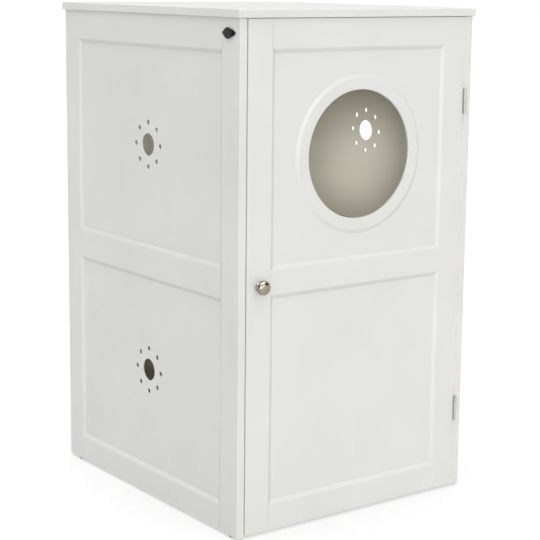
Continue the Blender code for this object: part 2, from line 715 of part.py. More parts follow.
def build():
    clear_scene()
    cabinet = empty("cabinet", -OUTLINE_MIDDLE)
    pivot = empty("door_pivot", HINGE_AXIS, cabinet)
    sides = {name: build_side(name, side, cabinet) for name, side in SIDES.items()}
    top, shelf = build_boards(cabinet)
    build_dowels(top, sides, cabinet)
    build_glides(sides, cabinet)
    build_peg(sides["left"]["front_stile"], cabinet)
    door = build_door(pivot)
    build_catch(shelf, door["mid_rail"], cabinet, pivot)
    for name, height in HINGE_CENTRES.items():
        build_hinge(name, height, door["hinge_stile"], sides["right"]["front_stile"],
                    cabinet, pivot)


build()
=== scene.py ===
import json
import math

import bmesh
import bpy
from mathutils import Matrix, Vector

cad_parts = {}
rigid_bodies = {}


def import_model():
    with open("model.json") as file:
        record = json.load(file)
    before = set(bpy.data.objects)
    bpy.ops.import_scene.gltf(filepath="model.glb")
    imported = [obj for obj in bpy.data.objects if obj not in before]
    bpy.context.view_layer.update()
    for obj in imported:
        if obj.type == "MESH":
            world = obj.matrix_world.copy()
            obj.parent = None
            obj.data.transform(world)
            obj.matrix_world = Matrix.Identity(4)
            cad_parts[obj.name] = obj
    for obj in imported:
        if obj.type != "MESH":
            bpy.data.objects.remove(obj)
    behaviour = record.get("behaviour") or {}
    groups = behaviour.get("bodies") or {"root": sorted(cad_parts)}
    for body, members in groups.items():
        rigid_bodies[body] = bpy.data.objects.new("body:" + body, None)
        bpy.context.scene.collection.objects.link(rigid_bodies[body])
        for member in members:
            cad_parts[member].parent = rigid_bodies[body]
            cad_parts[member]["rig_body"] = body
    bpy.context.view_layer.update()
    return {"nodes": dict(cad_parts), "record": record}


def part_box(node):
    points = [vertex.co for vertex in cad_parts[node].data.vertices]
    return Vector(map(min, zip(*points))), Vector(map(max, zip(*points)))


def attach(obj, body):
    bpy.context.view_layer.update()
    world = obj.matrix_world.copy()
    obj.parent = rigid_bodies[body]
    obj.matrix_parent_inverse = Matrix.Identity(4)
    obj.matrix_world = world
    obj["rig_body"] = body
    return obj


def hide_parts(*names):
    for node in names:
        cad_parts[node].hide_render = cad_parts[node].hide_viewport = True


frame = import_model()

# Looks of a two-storey pet cabinet: lacquered fibreboard, framed sides and door, round way in.
# Every place and size comes from the frame's boxes or the record's openings. The lengths below
# are those that a box can't tell. Metres, and the cabinet's front faces -Y.

# Boards
ARRIS = 0.0008  # radius of the rounded edges
TOP_ARRIS = 0.0012
PLATE_ARRIS = 0.25  # of a thin plate's thickness
ARRIS_STEPS = 4
CORNER = 0.0008
CORNER_STEPS = 3
JOINT = 0.0001  # air in a glued joint
SLOPE_RUN = 0.008  # width of the sloping edge round a panel
SLOPE_EASE = 0.16  # share of that width in which the slope bends, at its top and at its foot
SLOPE_SAMPLES = (0.0, 0.05, 0.10, 0.16, 0.5, 0.84, 0.90, 0.95, 1.0)
COPE_GAP = 0.0011  # stripe of a stile's slope left bare beside the end of a rail

# Vents
VENT_HOLE_RADIUS = 0.020
VENT_RING_RADIUS = 0.040
VENT_SMALL_RADIUS = 0.0045
VENT_SMALL_COUNT = 8
HOLE_ARRIS = 0.0006
VENT_HOLE_SEGMENTS = 72
VENT_SMALL_SEGMENTS = 28

# Passage through the middle shelf
PASSAGE_SIZE = 0.220
PASSAGE_CORNER = 0.050
PASSAGE_CORNER_STEPS = 12

# Way in
WAY_IN_RADIUS = 0.112
COLLAR_TOP_RADIUS = 0.1325
SLEEVE_RADIUS = 0.118
WAY_IN_SEGMENTS = 128
COLLAR_SEGMENTS = 160
COLLAR_EDGES = (0.0018, 0.0060, 0, 0, 0.0003, 0.0010)  # radii of its section's corners

# Knob: (share of its reach, share of its radius), from the door outwards
KNOB_SHARES = (
    (0.000, 0.640), (0.050, 0.630), (0.140, 0.500), (0.260, 0.480), (0.340, 0.660),
    (0.420, 0.880), (0.520, 0.985), (0.620, 1.000), (0.720, 0.975), (0.810, 0.900),
    (0.880, 0.780), (0.940, 0.600), (0.980, 0.360), (1.000, 0.050),
)
KNOB_SEGMENTS = 72

# Screws: shares of the head's radius, then lengths
SCREW_SHANK = 0.48
SCREW_FACE = 0.96  # the flat of the head
SCREW_CENTRE = 0.05  # the faces close at this small radius
SCREW_TIP = 0.2  # of the shank's radius
CROSS_ARM = 0.58
CROSS_WIDTH = 0.28  # half the width of an arm, as a share of its length
CROSS_DEPTH = 0.42
CROSS_TAPER = 0.45  # size of the recess at its bottom
SCREW_RIM = 0.0002  # height of the head's edge
SCREW_POINT = 0.002  # length of the tip
SCREW_SEGMENTS = 32

# Hinges
BARREL_RADIUS = 0.003
PIN_BORE = 0.00145  # radius of the hole through the knuckles
KNUCKLES = 5
KNUCKLE_GAP = 0.0002  # half the air between two knuckles
LEAF_FROM_AXIS = 0.0002  # from the axis to a plate's inner face
LEAF_THICKNESS = 0.0006
LEAF_ARRIS = LEAF_THICKNESS / 5
LEAF_START = 0.68  # where a plate starts in its knuckles, as a share of their radius
LEAF_CLEARANCE = 0.0004  # air between a plate and the other leaf's knuckles
KNUCKLE_EDGES = (0.0001, 0.0003, 0.0003, 0.0001)
KNUCKLE_SEGMENTS = 40
PIN_CLEARANCE = 0.00015
PIN_HEAD_HEIGHT = 0.0012
PIN_CENTRE = 0.0002  # the pin's end faces close at this small radius
PIN_EDGES = (0, 0.0005, 0, 0.0002, 0.0009, 0)
PIN_SEGMENTS = 32

# Hanging peg
PEG_HEAD_HALF = 0.0122  # the head is oval, and longer than it is high
PEG_HEAD_HALF_HEIGHT = 0.0094
PEG_HEAD_PROFILE = (  # distance out from the side, half height
    (0.0006, 0.0075), (0.0018, 0.0079), (0.0025, 0.0091), (0.0030, 0.0094), (0.0036, 0.0089),
    (0.0041, 0.0076), (0.0044, 0.0058), (0.00455, 0.0032), (0.0046, 0.0003),
)
PEG_FLANGE = 0.0012  # its thickness
PEG_FLANGE_HALF_HEIGHT = 0.0070
PEG_FLANGE_SQUEEZE = 0.25  # how much narrower than an ellipse it gets towards its tips
PEG_ARRIS = 0.0005
PEG_SEGMENTS = 64

# Catch
CATCH_BLOCK_WIDTH = 0.026
CATCH_EAR_HEIGHT = 0.003
CATCH_EDGES = (0.0004, 0.0004, 0.0010, 0.0012, 0.0015, 0.0015, 0.0012, 0.0010)
MAGNET_CLEARANCE = 0.0003
POCKET_ARRIS = 0.0002
MAGNET_ARRIS = 0.0004
STRIKE_CORNER = 0.0020

# Glides
GLIDE_DISC = 0.0027
GLIDE_SPIKE_RADIUS = 0.0010
GLIDE_POINT = 0.0010
GLIDE_FOOT_CENTRE = 0.0004  # the foot closes at this small radius
GLIDE_TIP_RADIUS = 0.0002
GLIDE_EDGES = (0, 0.0016, 0.0004, 0, 0, 0)
GLIDE_SEGMENTS = 48

OVERSHOOT = 0.002  # how far a cutter runs out past the face it opens
CROSS_OVERSHOOT = 0.0005
SMOOTH_ANGLE = math.radians(38)


# Meshes -----------------------------------------------------------------------------------------


def loft(name, loops, ring=False):
    """An object skinned over loops of points; a ring joins its last loop to its first."""
    mesh = bmesh.new()
    rows = [[mesh.verts.new(point) for point in loop] for loop in loops]
    following = rows[1:] + rows[:1] if ring else rows[1:]
    for row, after in zip(rows, following):
        for i in range(len(row)):
            j = (i + 1) % len(row)
            mesh.faces.new((row[i], row[j], after[j], after[i]))
    if not ring:
        mesh.faces.new(rows[0])
        mesh.faces.new(rows[-1])
    bmesh.ops.recalc_face_normals(mesh, faces=mesh.faces)
    data = bpy.data.meshes.new(name)
    mesh.to_mesh(data)
    mesh.free()
    obj = bpy.data.objects.new(name, data)
    bpy.context.scene.collection.objects.link(obj)
    return obj


def carve(obj, tools, operation="DIFFERENCE"):
    """Cuts tools from obj, or joins them to it, for good, and removes them."""
    for tool in tools:
        modifier = obj.modifiers.new("carve", "BOOLEAN")
        modifier.operation = operation
        modifier.solver = "EXACT"
        modifier.object = tool
    evaluated = obj.evaluated_get(bpy.context.evaluated_depsgraph_get())
    carved = bpy.data.meshes.new_from_object(evaluated)
    obj.modifiers.clear()
    obj.data = carved
    for tool in tools:
        bpy.data.objects.remove(tool)
    return obj


def inside_faces(obj, axis, direction, limit=0.99):
    """Gives the faces that look along a direction of an axis the second material, the inner lacquer
    brightened with painted light.
    """
    for polygon in obj.data.polygons:
        if polygon.normal[axis] * direction > limit:
            polygon.material_index = 1


def finish(obj, node, slot, *materials):
    """Shades a piece, gives it its materials, and lets it stand for its CAD node."""
    for made in materials:
        obj.data.materials.append(made)
    obj.data.shade_smooth()
    obj.data.set_sharp_from_angle(angle=SMOOTH_ANGLE)
    normals = obj.modifiers.new("even_normals", "WEIGHTED_NORMAL")
    normals.keep_sharp = True
    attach(obj, frame["nodes"][node]["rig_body"])
    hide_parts(node)
    return obj


def rounded(points, radii, steps=5, closed=True):
    """A flat outline with its corners turned into arcs of the given radii."""
    made = []
    count = len(points)
    for i, (corner, radius) in enumerate(zip(map(Vector, points), radii)):
        if not radius or (not closed and i in (0, count - 1)):
            made.append(corner)
            continue
        back = (Vector(points[i - 1]) - corner).normalized()
        on = (Vector(points[(i + 1) % count]) - corner).normalized()
        half = back.angle(on) / 2
        centre = corner + (back + on).normalized() * radius / math.sin(half)
        start = corner + back * radius / math.tan(half) - centre
        end = corner + on * radius / math.tan(half) - centre
        turn = start.angle_signed(end)
        for step in range(steps + 1):
            angle = math.atan2(start.y, start.x) - turn * step / steps
            made.append(centre + radius * Vector((math.cos(angle), math.sin(angle))))
    return made


def circle(centre, axis, radius, segments):
    """Points round a circle that faces along axis 0, 1 or 2."""
    points = []
    for i in range(segments):
        angle = 2 * math.pi * i / segments
        offset = [radius * math.cos(angle), radius * math.sin(angle)]
        offset.insert(axis, 0)
        points.append(Vector(centre) + Vector(offset))
    return points


def turned(name, start, axis, direction, profile, segments, ring=False):
    """A piece turned about an axis from a profile of (distance along it, radius)."""
    along = Vector((axis == 0, axis == 1, axis == 2)) * direction
    loops = [circle(Vector(start) + along * run, axis, radius, segments) for run, radius in profile]
    return loft(name, loops, ring)


def smooth_curve(points, steps):
    """Points on a Catmull-Rom curve through the given ones."""
    ends = [2 * Vector(points[0]) - Vector(points[1]), 2 * Vector(points[-1]) - Vector(points[-2])]
    all_points = [ends[0], *map(Vector, points), ends[1]]
    made = []
    for before, a, b, after in zip(all_points, all_points[1:], all_points[2:], all_points[3:]):
        for step in range(steps):
            t = step / steps
            made.append(0.5 * (2 * a + (b - before) * t + (2 * before - 5 * a + 4 * b - after) * t ** 2
                               + (3 * a - before - 3 * b + after) * t ** 3))
    return made + [all_points[-2]]


def middle(box):
    return (box[0] + box[1]) / 2


def opening(name):
    """Middle of one of the record's stated openings."""
    low, high = next(o["box_m"] for o in frame["record"]["physics"]["openings"] if o["name"] == name)
    return middle((Vector(low), Vector(high)))


# Boards -----------------------------------------------------------------------------------------


def arris_depths(radius):
    return [radius * (1 - math.cos(math.pi / 2 * i / ARRIS_STEPS)) for i in range(ARRIS_STEPS + 1)]


def eased(depth, thickness, radius=ARRIS):
    """How far the rounded arris sets an edge back at a depth below either face."""
    below = min(depth, thickness - depth)
    if below >= radius:
        return 0.0
    return radius - math.sqrt(radius ** 2 - (radius - max(below, 0)) ** 2)


def slope_depth(across):
    """How deep the slope is, as a share of the recess, at a share of its width."""
    bend = SLOPE_EASE
    if across < bend:
        return across ** 2 / (2 * bend * (1 - bend))
    if across > 1 - bend:
        return 1 - (1 - across) ** 2 / (2 * bend * (1 - bend))
    return (across - bend / 2) / (1 - bend)


def slope_spread(depth, recess):
    """How far the slope stands back from the opening at a depth below the frame's face."""
    share = min(depth / recess, 1.0)
    bend = SLOPE_EASE
    knee = bend / (2 * (1 - bend))
    if share < knee:
        across = math.sqrt(2 * bend * (1 - bend) * share)
    elif share > 1 - knee:
        across = 1 - math.sqrt(2 * bend * (1 - bend) * (1 - share))
    else:
        across = share * (1 - bend) + bend / 2
    return SLOPE_RUN * (1 - across)


def rectangle(u, v, corner=0.0):
    """A rectangle's corners, rounded where a corner radius is given."""
    points = [(u[0], v[0]), (u[1], v[0]), (u[1], v[1]), (u[0], v[1])]
    return rounded(points, [corner] * 4, CORNER_STEPS) if corner else points


def slab(name, place, levels, corner=0.0):
    """A board from levels of (depth, (u from, u to), (v from, v to))."""
    loops = [[place(a, depth, b) for a, b in rectangle(u, v, corner)] for depth, u, v in levels]
    return loft(name, loops)


def plain_levels(u, v, thickness, radius=ARRIS):
    """Levels of a board with rounded arrises on both faces."""
    depths = arris_depths(radius)
    depths += [thickness - depth for depth in reversed(depths)]
    made = []
    for depth in depths:
        back = eased(depth, thickness, radius)
        made.append((depth, (u[0] + back, u[1] - back), (v[0] + back, v[1] - back)))
    return made


class Framed:
    """Where the members of a framed board lie, read from the frame."""

    def __init__(self, prefix, along, outward, near, far):
        self.prefix, self.along, self.outward = prefix, along, outward
        self.normal = 1 - along
        self.stiles = (near, far)
        first, last = self.box(near), self.box(far)
        self.width = (first[0][along], last[1][along])
        self.inner = (first[1][along], last[0][along])
        self.glued = prefix != "door"  # a side's upper edge is glued to the top board
        self.height = (first[0].z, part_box("top_board")[0].z - JOINT if self.glued else first[1].z)
        self.thickness = first[1][self.normal] - first[0][self.normal]
        outer, inner = (1, 0) if outward > 0 else (0, 1)  # which corner of a box lies outwards
        self.face = first[outer][self.normal]
        bottom, mid, top = (self.box(rail) for rail in ("bottom_rail", "mid_rail", "top_rail"))
        self.openings = {"lower": (bottom[1].z, mid[0].z), "upper": (mid[1].z, top[0].z)}
        panel = self.box("upper_panel")
        self.recess = abs(self.face - panel[outer][self.normal])
        self.panel_back = abs(self.face - panel[inner][self.normal])

    def box(self, member):
        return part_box(f"{self.prefix}_{member}")

    def place(self, u, depth, z):
        point = [self.face - self.outward * depth, z]
        point.insert(self.along, u)
        return Vector(point)

    def depths(self):
        """Depths at which a member's section changes."""
        found = {self.recess * slope_depth(across) for across in SLOPE_SAMPLES}
        arris = arris_depths(ARRIS)
        found.update(arris)
        found.update(self.thickness - depth for depth in arris)
        found.add(self.recess + JOINT)
        return sorted(found)

    def slope(self, depth):
        return slope_spread(depth, self.recess)

    def ease(self, depth):
        return eased(depth, self.thickness)

    def upper_end(self, depth):
        """Where the board ends at the top: with a sharp arris where it is glued."""
        return self.height[1] - (0 if self.glued else self.ease(depth))


def stile(board, member, side):
    """A stile: its slope runs from end to end of the inner edge. side is 0 for the near one."""
    levels = []
    for depth in board.depths():
        ease = board.ease(depth)
        inner = board.slope(depth) if depth < board.recess else 0.0
        if side == 0:
            u = (board.width[0] + ease, board.inner[0] - inner)
        else:
            u = (board.inner[1] + inner, board.width[1] - ease)
        levels.append((depth, u, (board.height[0] + ease, board.upper_end(depth))))
    return slab(f"{board.prefix}_{member}_piece", board.place, levels, CORNER)


def rail(board, member, v, open_below, open_above):
    """A rail, sloping where an opening is beside it, its ends coped over the stiles' slopes."""
    levels = []
    for depth in board.depths():
        slope = board.slope(depth)
        reach = slope - COPE_GAP if slope > COPE_GAP else -JOINT
        ease = board.ease(depth)
        front = depth <= board.recess
        low = v[0] + (slope if open_below and front else ease)
        high = v[1] - (slope if open_above and front else ease)
        if v[1] == board.height[1]:
            high = board.upper_end(depth)
        u = (board.inner[0] - reach, board.inner[1] + reach)
        levels.append((depth, u, (low, high)))
    return slab(f"{board.prefix}_{member}_piece", board.place, levels)


def panel(board, member, v):
    """A thin panel, its face at the foot of the slope."""
    depths = [board.recess, board.recess + JOINT, board.panel_back - JOINT, board.panel_back]
    levels = []
    for depth, set_back in zip(depths, (2 * JOINT, JOINT, JOINT, 2 * JOINT)):
        u = (board.inner[0] + set_back, board.inner[1] - set_back)
        levels.append((depth, u, (v[0] + set_back, v[1] - set_back)))
    return slab(f"{board.prefix}_{member}_piece", board.place, levels)


def hole_tool(board, u, z, radius, segments):
    """A cutter for a round hole with rounded rims, through a panel."""
    profile = [(-OVERSHOOT, radius + HOLE_ARRIS)]
    run = board.panel_back - board.recess
    arris = arris_depths(HOLE_ARRIS)
    for depth in arris + [run - depth for depth in reversed(arris)]:
        profile.append((depth, radius + eased(depth, run, HOLE_ARRIS)))
    profile.append((run + OVERSHOOT, radius + HOLE_ARRIS))
    start = board.place(u, board.recess, z)
    return turned("hole_tool", start, board.normal, -board.outward, profile, segments)


def vented(board, obj, centre):
    """Cuts the middle hole and the ring of small ones into a panel."""
    u = centre[board.along]
    tools = [hole_tool(board, u, centre.z, VENT_HOLE_RADIUS, VENT_HOLE_SEGMENTS)]
    for i in range(VENT_SMALL_COUNT):
        angle = 2 * math.pi * i / VENT_SMALL_COUNT
        at_u = u + VENT_RING_RADIUS * math.sin(angle)
        at_z = centre.z + VENT_RING_RADIUS * math.cos(angle)
        tools.append(hole_tool(board, at_u, at_z, VENT_SMALL_RADIUS, VENT_SMALL_SEGMENTS))
    return carve(obj, tools)


def build_framed(board, looks):
    """The seven members of a framed board."""
    made = {}
    for side, member in enumerate(board.stiles):
        made[member] = stile(board, member, side)
    lower, upper = board.openings["lower"], board.openings["upper"]
    made["bottom_rail"] = rail(board, "bottom_rail", (board.height[0], lower[0]), False, True)
    made["mid_rail"] = rail(board, "mid_rail", (lower[1], upper[0]), True, True)
    made["top_rail"] = rail(board, "top_rail", (upper[1], board.height[1]), True, False)
    for name, span in board.openings.items():
        made[name + "_panel"] = panel(board, name + "_panel", span)
    if board.prefix == "door":
        tool = way_in_tool(board)
        made["upper_panel"] = carve(made["upper_panel"], [tool])
    else:
        for name in board.openings:
            centre = opening(f"vent_{board.prefix}_{name}")
            made[name + "_panel"] = vented(board, made[name + "_panel"], centre)
    for member, obj in made.items():
        # the sides' inner faces take the brighter, warmer inner copy of the lacquer: painted light
        if board.glued:
            inside_faces(obj, board.normal, -board.outward)
        finish(obj, f"{board.prefix}_{member}", "white_lacquer", looks["white_lacquer"],
               looks["inner_lacquer_painted_light"])


def build_boards(looks):
    """Top board, floor board, middle shelf with its passage, and back panel."""
    lacquer, inner = looks["white_lacquer"], looks["inner_lacquer_painted_light"]

    def lying(top):
        return lambda u, depth, v: Vector((u, v, top - depth))

    for node, arris in (("top_board", TOP_ARRIS), ("floor_board", ARRIS), ("middle_shelf", ARRIS)):
        low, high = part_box(node)
        levels = plain_levels((low.x, high.x), (low.y, high.y), high.z - low.z, arris)
        obj = slab(node + "_piece", lying(high.z), levels, max(CORNER, arris))
        if node == "middle_shelf":
            carve(obj, [passage_tool(high.z, high.z - low.z)])
        # both faces of floor board and shelf take the brighter, warmer inner copy: painted light
        if node != "top_board":
            inside_faces(obj, 2, 1)
            inside_faces(obj, 2, -1)
        finish(obj, node, "white_lacquer", lacquer, inner)

    low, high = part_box("back_panel")
    thickness = high.y - low.y
    levels = plain_levels((low.x, high.x), (low.z, high.z), thickness, thickness * PLATE_ARRIS)

    def upright(u, depth, v):
        return Vector((u, high.y - depth, v))

    obj = slab("back_panel_piece", upright, levels)
    # the back panel's inner face takes the brighter, warmer inner copy: painted light
    inside_faces(obj, 1, -1)
    finish(obj, "back_panel", "back_board", looks["back_board"], inner)


def passage_tool(top, thickness):
    """A cutter for the passage: a square with round corners and rounded rims."""
    centre = opening("shelf_passage")
    levels = [(-OVERSHOOT, ARRIS)]
    arris = arris_depths(ARRIS)
    for depth in arris + [thickness - depth for depth in reversed(arris)]:
        levels.append((depth, eased(depth, thickness)))
    levels.append((thickness + OVERSHOOT, ARRIS))
    loops = []
    for depth, grow in levels:
        half = PASSAGE_SIZE / 2 + grow
        corners = [(-half, -half), (half, -half), (half, half), (-half, half)]
        outline = rounded(corners, [PASSAGE_CORNER + grow] * 4, PASSAGE_CORNER_STEPS)
        loops.append([Vector((centre.x + x, centre.y + y, top - depth)) for x, y in outline])
    return loft("passage_tool", loops)


# Door -------------------------------------------------------------------------------------------


def way_in_tool(board):
    centre = middle(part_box("way_in_collar"))
    radius = SLEEVE_RADIUS + 2 * JOINT
    start = board.place(centre.x, 0, centre.z)
    profile = [(-OVERSHOOT, radius), (board.thickness + OVERSHOOT, radius)]
    return turned("way_in_tool", start, 1, 1, profile, WAY_IN_SEGMENTS)


def build_collar(looks):
    """The ring that lines the way in, with a flange that slopes down to the panel."""
    low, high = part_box("way_in_collar")
    panel_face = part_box("door_upper_panel")[0].y
    centre = middle((low, high))
    foot = (high.x - low.x) / 2
    deep, flange = high.y - low.y, panel_face - low.y
    corners = [
        (0, WAY_IN_RADIUS), (0, COLLAR_TOP_RADIUS), (flange, foot), (flange, SLEEVE_RADIUS),
        (deep, SLEEVE_RADIUS), (deep, WAY_IN_RADIUS),
    ]
    profile = rounded(corners, COLLAR_EDGES, steps=6)
    start = (centre.x, low.y, centre.z)
    obj = turned("way_in_collar_piece", start, 1, 1, profile, COLLAR_SEGMENTS, ring=True)
    finish(obj, "way_in_collar", "white_lacquer", looks["white_lacquer"])


def build_knob(looks):
    """A turned knob: a foot, a short neck, and a drum with a domed face."""
    low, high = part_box("knob")
    centre = middle((low, high))
    reach, radius = high.y - low.y, (high.x - low.x) / 2
    points = [(reach * along, radius * out) for along, out in KNOB_SHARES]
    profile = smooth_curve(points, steps=4)
    obj = turned("knob_piece", (centre.x, high.y, centre.z), 1, -1, profile, KNOB_SEGMENTS)
    finish(obj, "knob", "knob_nickel", looks["knob_nickel"])


# Hardware ---------------------------------------------------------------------------------------


def cross_tool(centre, axis, outward, size, deep):
    """A cutter for the cross recess of a screw, narrower at the bottom."""
    arm, half = size, size * CROSS_WIDTH
    outline = [
        (arm, half), (half, half), (half, arm), (-half, arm), (-half, half), (-arm, half),
        (-arm, -half), (-half, -half), (-half, -arm), (half, -arm), (half, -half), (arm, -half),
    ]
    loops = []
    for run, share in ((CROSS_OVERSHOOT, 1.0), (0, 1.0), (-deep, CROSS_TAPER)):
        loop = []
        for a, b in outline:
            offset = [a * share, b * share]
            offset.insert(axis, outward * run)
            loop.append(centre + Vector(offset))
        loops.append(loop)
    return loft("cross_tool", loops)


def build_screw(node, axis, outward, slot, looks):
    """A countersunk screw with a cross recess, where its CAD node is."""
    low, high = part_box(node)
    across = 2 if axis != 2 else 0
    head = (high[across] - low[across]) / 2
    length = high[axis] - low[axis]
    face = middle((low, high))
    face[axis] = high[axis] if outward > 0 else low[axis]
    shank = head * SCREW_SHANK
    cone = head - shank
    corners = [
        (0, head * SCREW_CENTRE), (0, head * SCREW_FACE), (SCREW_RIM, head),
        (cone + SCREW_RIM, shank), (length - SCREW_POINT, shank), (length, shank * SCREW_TIP),
    ]
    obj = turned(node + "_piece", face, axis, -outward, corners, SCREW_SEGMENTS)
    carve(obj, [cross_tool(face, axis, outward, head * CROSS_ARM, head * CROSS_DEPTH)])
    finish(obj, node, slot, looks[slot])


def build_leaf(hinge, name, side, mine, looks):
    """A hinge leaf: knuckles round the pin, and a plate that is notched for the other's."""
    node = f"{hinge}_hinge_{name}"
    low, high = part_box(node)
    pin = middle(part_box(f"{hinge}_hinge_pin"))
    knuckle = (high.z - low.z) / KNUCKLES
    near, far = pin.x + side * LEAF_FROM_AXIS, pin.x + side * (LEAF_FROM_AXIS + LEAF_THICKNESS)
    left = min(near, far)
    start = pin.y + BARREL_RADIUS * LEAF_START

    def place(u, depth, v):
        return Vector((left + depth, u, v))

    levels = plain_levels((start, high.y), (low.z, high.z), LEAF_THICKNESS, LEAF_ARRIS)
    plate = slab(node + "_piece", place, levels)
    clear = pin.y + BARREL_RADIUS + LEAF_CLEARANCE
    notches, rings = [], []
    for i in range(KNUCKLES):
        base, top = low.z + i * knuckle, low.z + (i + 1) * knuckle
        if i not in mine:
            below = OVERSHOOT if i == 0 else 0
            above = OVERSHOOT if i == KNUCKLES - 1 else 0
            tool_levels = [(depth, (start - OVERSHOOT, clear), (base - below, top + above))
                           for depth in (-OVERSHOOT, LEAF_THICKNESS + OVERSHOOT)]
            notches.append(slab("notch_tool", place, tool_levels))
            continue
        corners = [
            (KNUCKLE_GAP, PIN_BORE), (KNUCKLE_GAP, BARREL_RADIUS),
            (knuckle - KNUCKLE_GAP, BARREL_RADIUS), (knuckle - KNUCKLE_GAP, PIN_BORE),
        ]
        profile = rounded(corners, KNUCKLE_EDGES, steps=3)
        start_of_ring = (pin.x, pin.y, base)
        rings.append(turned("knuckle", start_of_ring, 2, 1, profile, KNUCKLE_SEGMENTS, ring=True))
    carve(plate, notches)
    carve(plate, rings, "UNION")
    finish(plate, node, "hinge_steel", looks["hinge_steel"])
    for end in ("lower", "upper"):
        build_screw(f"{node}_{end}_screw", 0, -side, "screw_steel", looks)


def build_hinges(looks):
    for hinge in ("upper", "lower"):
        build_leaf(hinge, "door_leaf", -1, range(0, KNUCKLES, 2), looks)
        build_leaf(hinge, "frame_leaf", 1, range(1, KNUCKLES, 2), looks)
        low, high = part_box(f"{hinge}_hinge_pin")
        centre = middle((low, high))
        head = (high.x - low.x) / 2
        shank, length = PIN_BORE - PIN_CLEARANCE, high.z - low.z
        neck = length - PIN_HEAD_HEIGHT
        corners = [
            (0, PIN_CENTRE), (0, shank), (neck, shank), (neck, head), (length, head),
            (length, PIN_CENTRE),
        ]
        profile = rounded(corners, PIN_EDGES, steps=5, closed=False)
        start = (centre.x, centre.y, low.z)
        obj = turned(f"{hinge}_hinge_pin_piece", start, 2, 1, profile, PIN_SEGMENTS)
        finish(obj, f"{hinge}_hinge_pin", "hinge_steel", looks["hinge_steel"])


def build_peg(looks):
    """A low oval head on a flange that narrows to two eyes, one for each screw."""
    low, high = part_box("hanging_peg")
    centre = middle((low, high))
    half_along = (high.y - low.y) / 2
    loops = []
    for depth in [PEG_FLANGE, *reversed(arris_depths(PEG_ARRIS))]:
        back = eased(depth, 2 * PEG_FLANGE, PEG_ARRIS)
        loop = []
        for i in range(PEG_SEGMENTS):
            angle = 2 * math.pi * i / PEG_SEGMENTS
            along, up = math.cos(angle), math.sin(angle)
            height = PEG_FLANGE_HALF_HEIGHT * (1 - PEG_FLANGE_SQUEEZE * along ** 2)
            loop.append(Vector((high.x - PEG_FLANGE + depth, centre.y + (half_along - back) * along,
                                centre.z + (height - back) * up)))
        loops.append(loop)
    flange = loft("hanging_peg_piece", loops)
    profile = smooth_curve(PEG_HEAD_PROFILE, steps=4)
    head = turned("peg_head", (0, 0, 0), 0, -1, profile, PEG_SEGMENTS)
    stretch = PEG_HEAD_HALF / PEG_HEAD_HALF_HEIGHT
    head.data.transform(Matrix.Translation((high.x, centre.y, centre.z))
                        @ Matrix.Diagonal((1, stretch, 1, 1)))
    carve(flange, [head], "UNION")
    finish(flange, "hanging_peg", "black_plastic", looks["black_plastic"])
    for end in ("front", "back"):
        build_screw(f"peg_{end}_screw", 0, -1, "black_plastic", looks)


def build_catch(looks):
    """The magnetic catch under the shelf and the strike plate on the door."""
    low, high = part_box("catch_housing")
    centre = middle((low, high))
    half = CATCH_BLOCK_WIDTH / 2
    ear = high.z - CATCH_EAR_HEIGHT
    corners = [
        (low.x, high.z), (high.x, high.z), (high.x, ear), (centre.x + half, ear),
        (centre.x + half, low.z), (centre.x - half, low.z), (centre.x - half, ear), (low.x, ear),
    ]
    outline = rounded(corners, CATCH_EDGES, steps=4)
    housing = loft("catch_housing_piece", [[(x, y, z) for x, z in outline] for y in (low.y, high.y)])
    magnet_low, magnet_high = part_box("catch_magnet")
    magnet = middle((magnet_low, magnet_high))
    half_x, half_z = (magnet_high.x - magnet_low.x) / 2, (magnet_high.z - magnet_low.z) / 2

    def block(name, margin, y_from, y_to, radius):
        def place(u, depth, v):
            return Vector((u, y_from + depth, v))

        u = (magnet.x - half_x - margin, magnet.x + half_x + margin)
        v = (magnet.z - half_z - margin, magnet.z + half_z + margin)
        return slab(name, place, plain_levels(u, v, y_to - y_from, radius))

    pocket = block("pocket_tool", MAGNET_CLEARANCE, low.y - OVERSHOOT,
                   magnet_high.y + MAGNET_CLEARANCE, POCKET_ARRIS)
    carve(housing, [pocket])
    finish(housing, "catch_housing", "white_plastic", looks["white_plastic"])
    obj = block("catch_magnet_piece", 0, magnet_low.y, magnet_high.y, MAGNET_ARRIS)
    finish(obj, "catch_magnet", "magnet", looks["magnet"])
    for end in ("left", "right"):
        build_screw(f"catch_{end}_screw", 2, -1, "screw_steel", looks)

    low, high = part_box("strike_plate")
    thickness = high.y - low.y
    levels = plain_levels((low.x, high.x), (low.z, high.z), thickness, thickness * PLATE_ARRIS)

    def place_plate(u, depth, v):
        return Vector((u, high.y - depth, v))

    obj = slab("strike_plate_piece", place_plate, levels, STRIKE_CORNER)
    finish(obj, "strike_plate", "hinge_steel", looks["hinge_steel"])
    build_screw("strike_screw", 1, 1, "screw_steel", looks)
    build_screw("knob_screw", 1, 1, "screw_steel", looks)


def build_glides(looks):
    for side in ("left", "right"):
        for end in ("front", "back"):
            node = f"{side}_{end}_glide"
            low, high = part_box(node)
            centre = middle((low, high))
            radius = (high.x - low.x) / 2
            corners = [
                (0, GLIDE_FOOT_CENTRE), (0, radius), (GLIDE_DISC, radius),
                (GLIDE_DISC, GLIDE_SPIKE_RADIUS), (high.z - GLIDE_POINT, GLIDE_SPIKE_RADIUS),
                (high.z, GLIDE_TIP_RADIUS),
            ]
            profile = rounded(corners, GLIDE_EDGES, steps=6, closed=False)
            start = (centre.x, centre.y, low.z)
            obj = turned(node + "_piece", start, 2, 1, profile, GLIDE_SEGMENTS)
            finish(obj, node, "grey_plastic", looks["grey_plastic"])


# Materials --------------------------------------------------------------------------------------


MIX_A, MIX_B, MIX_RESULT = 6, 7, 2  # the Mix node's colour sockets


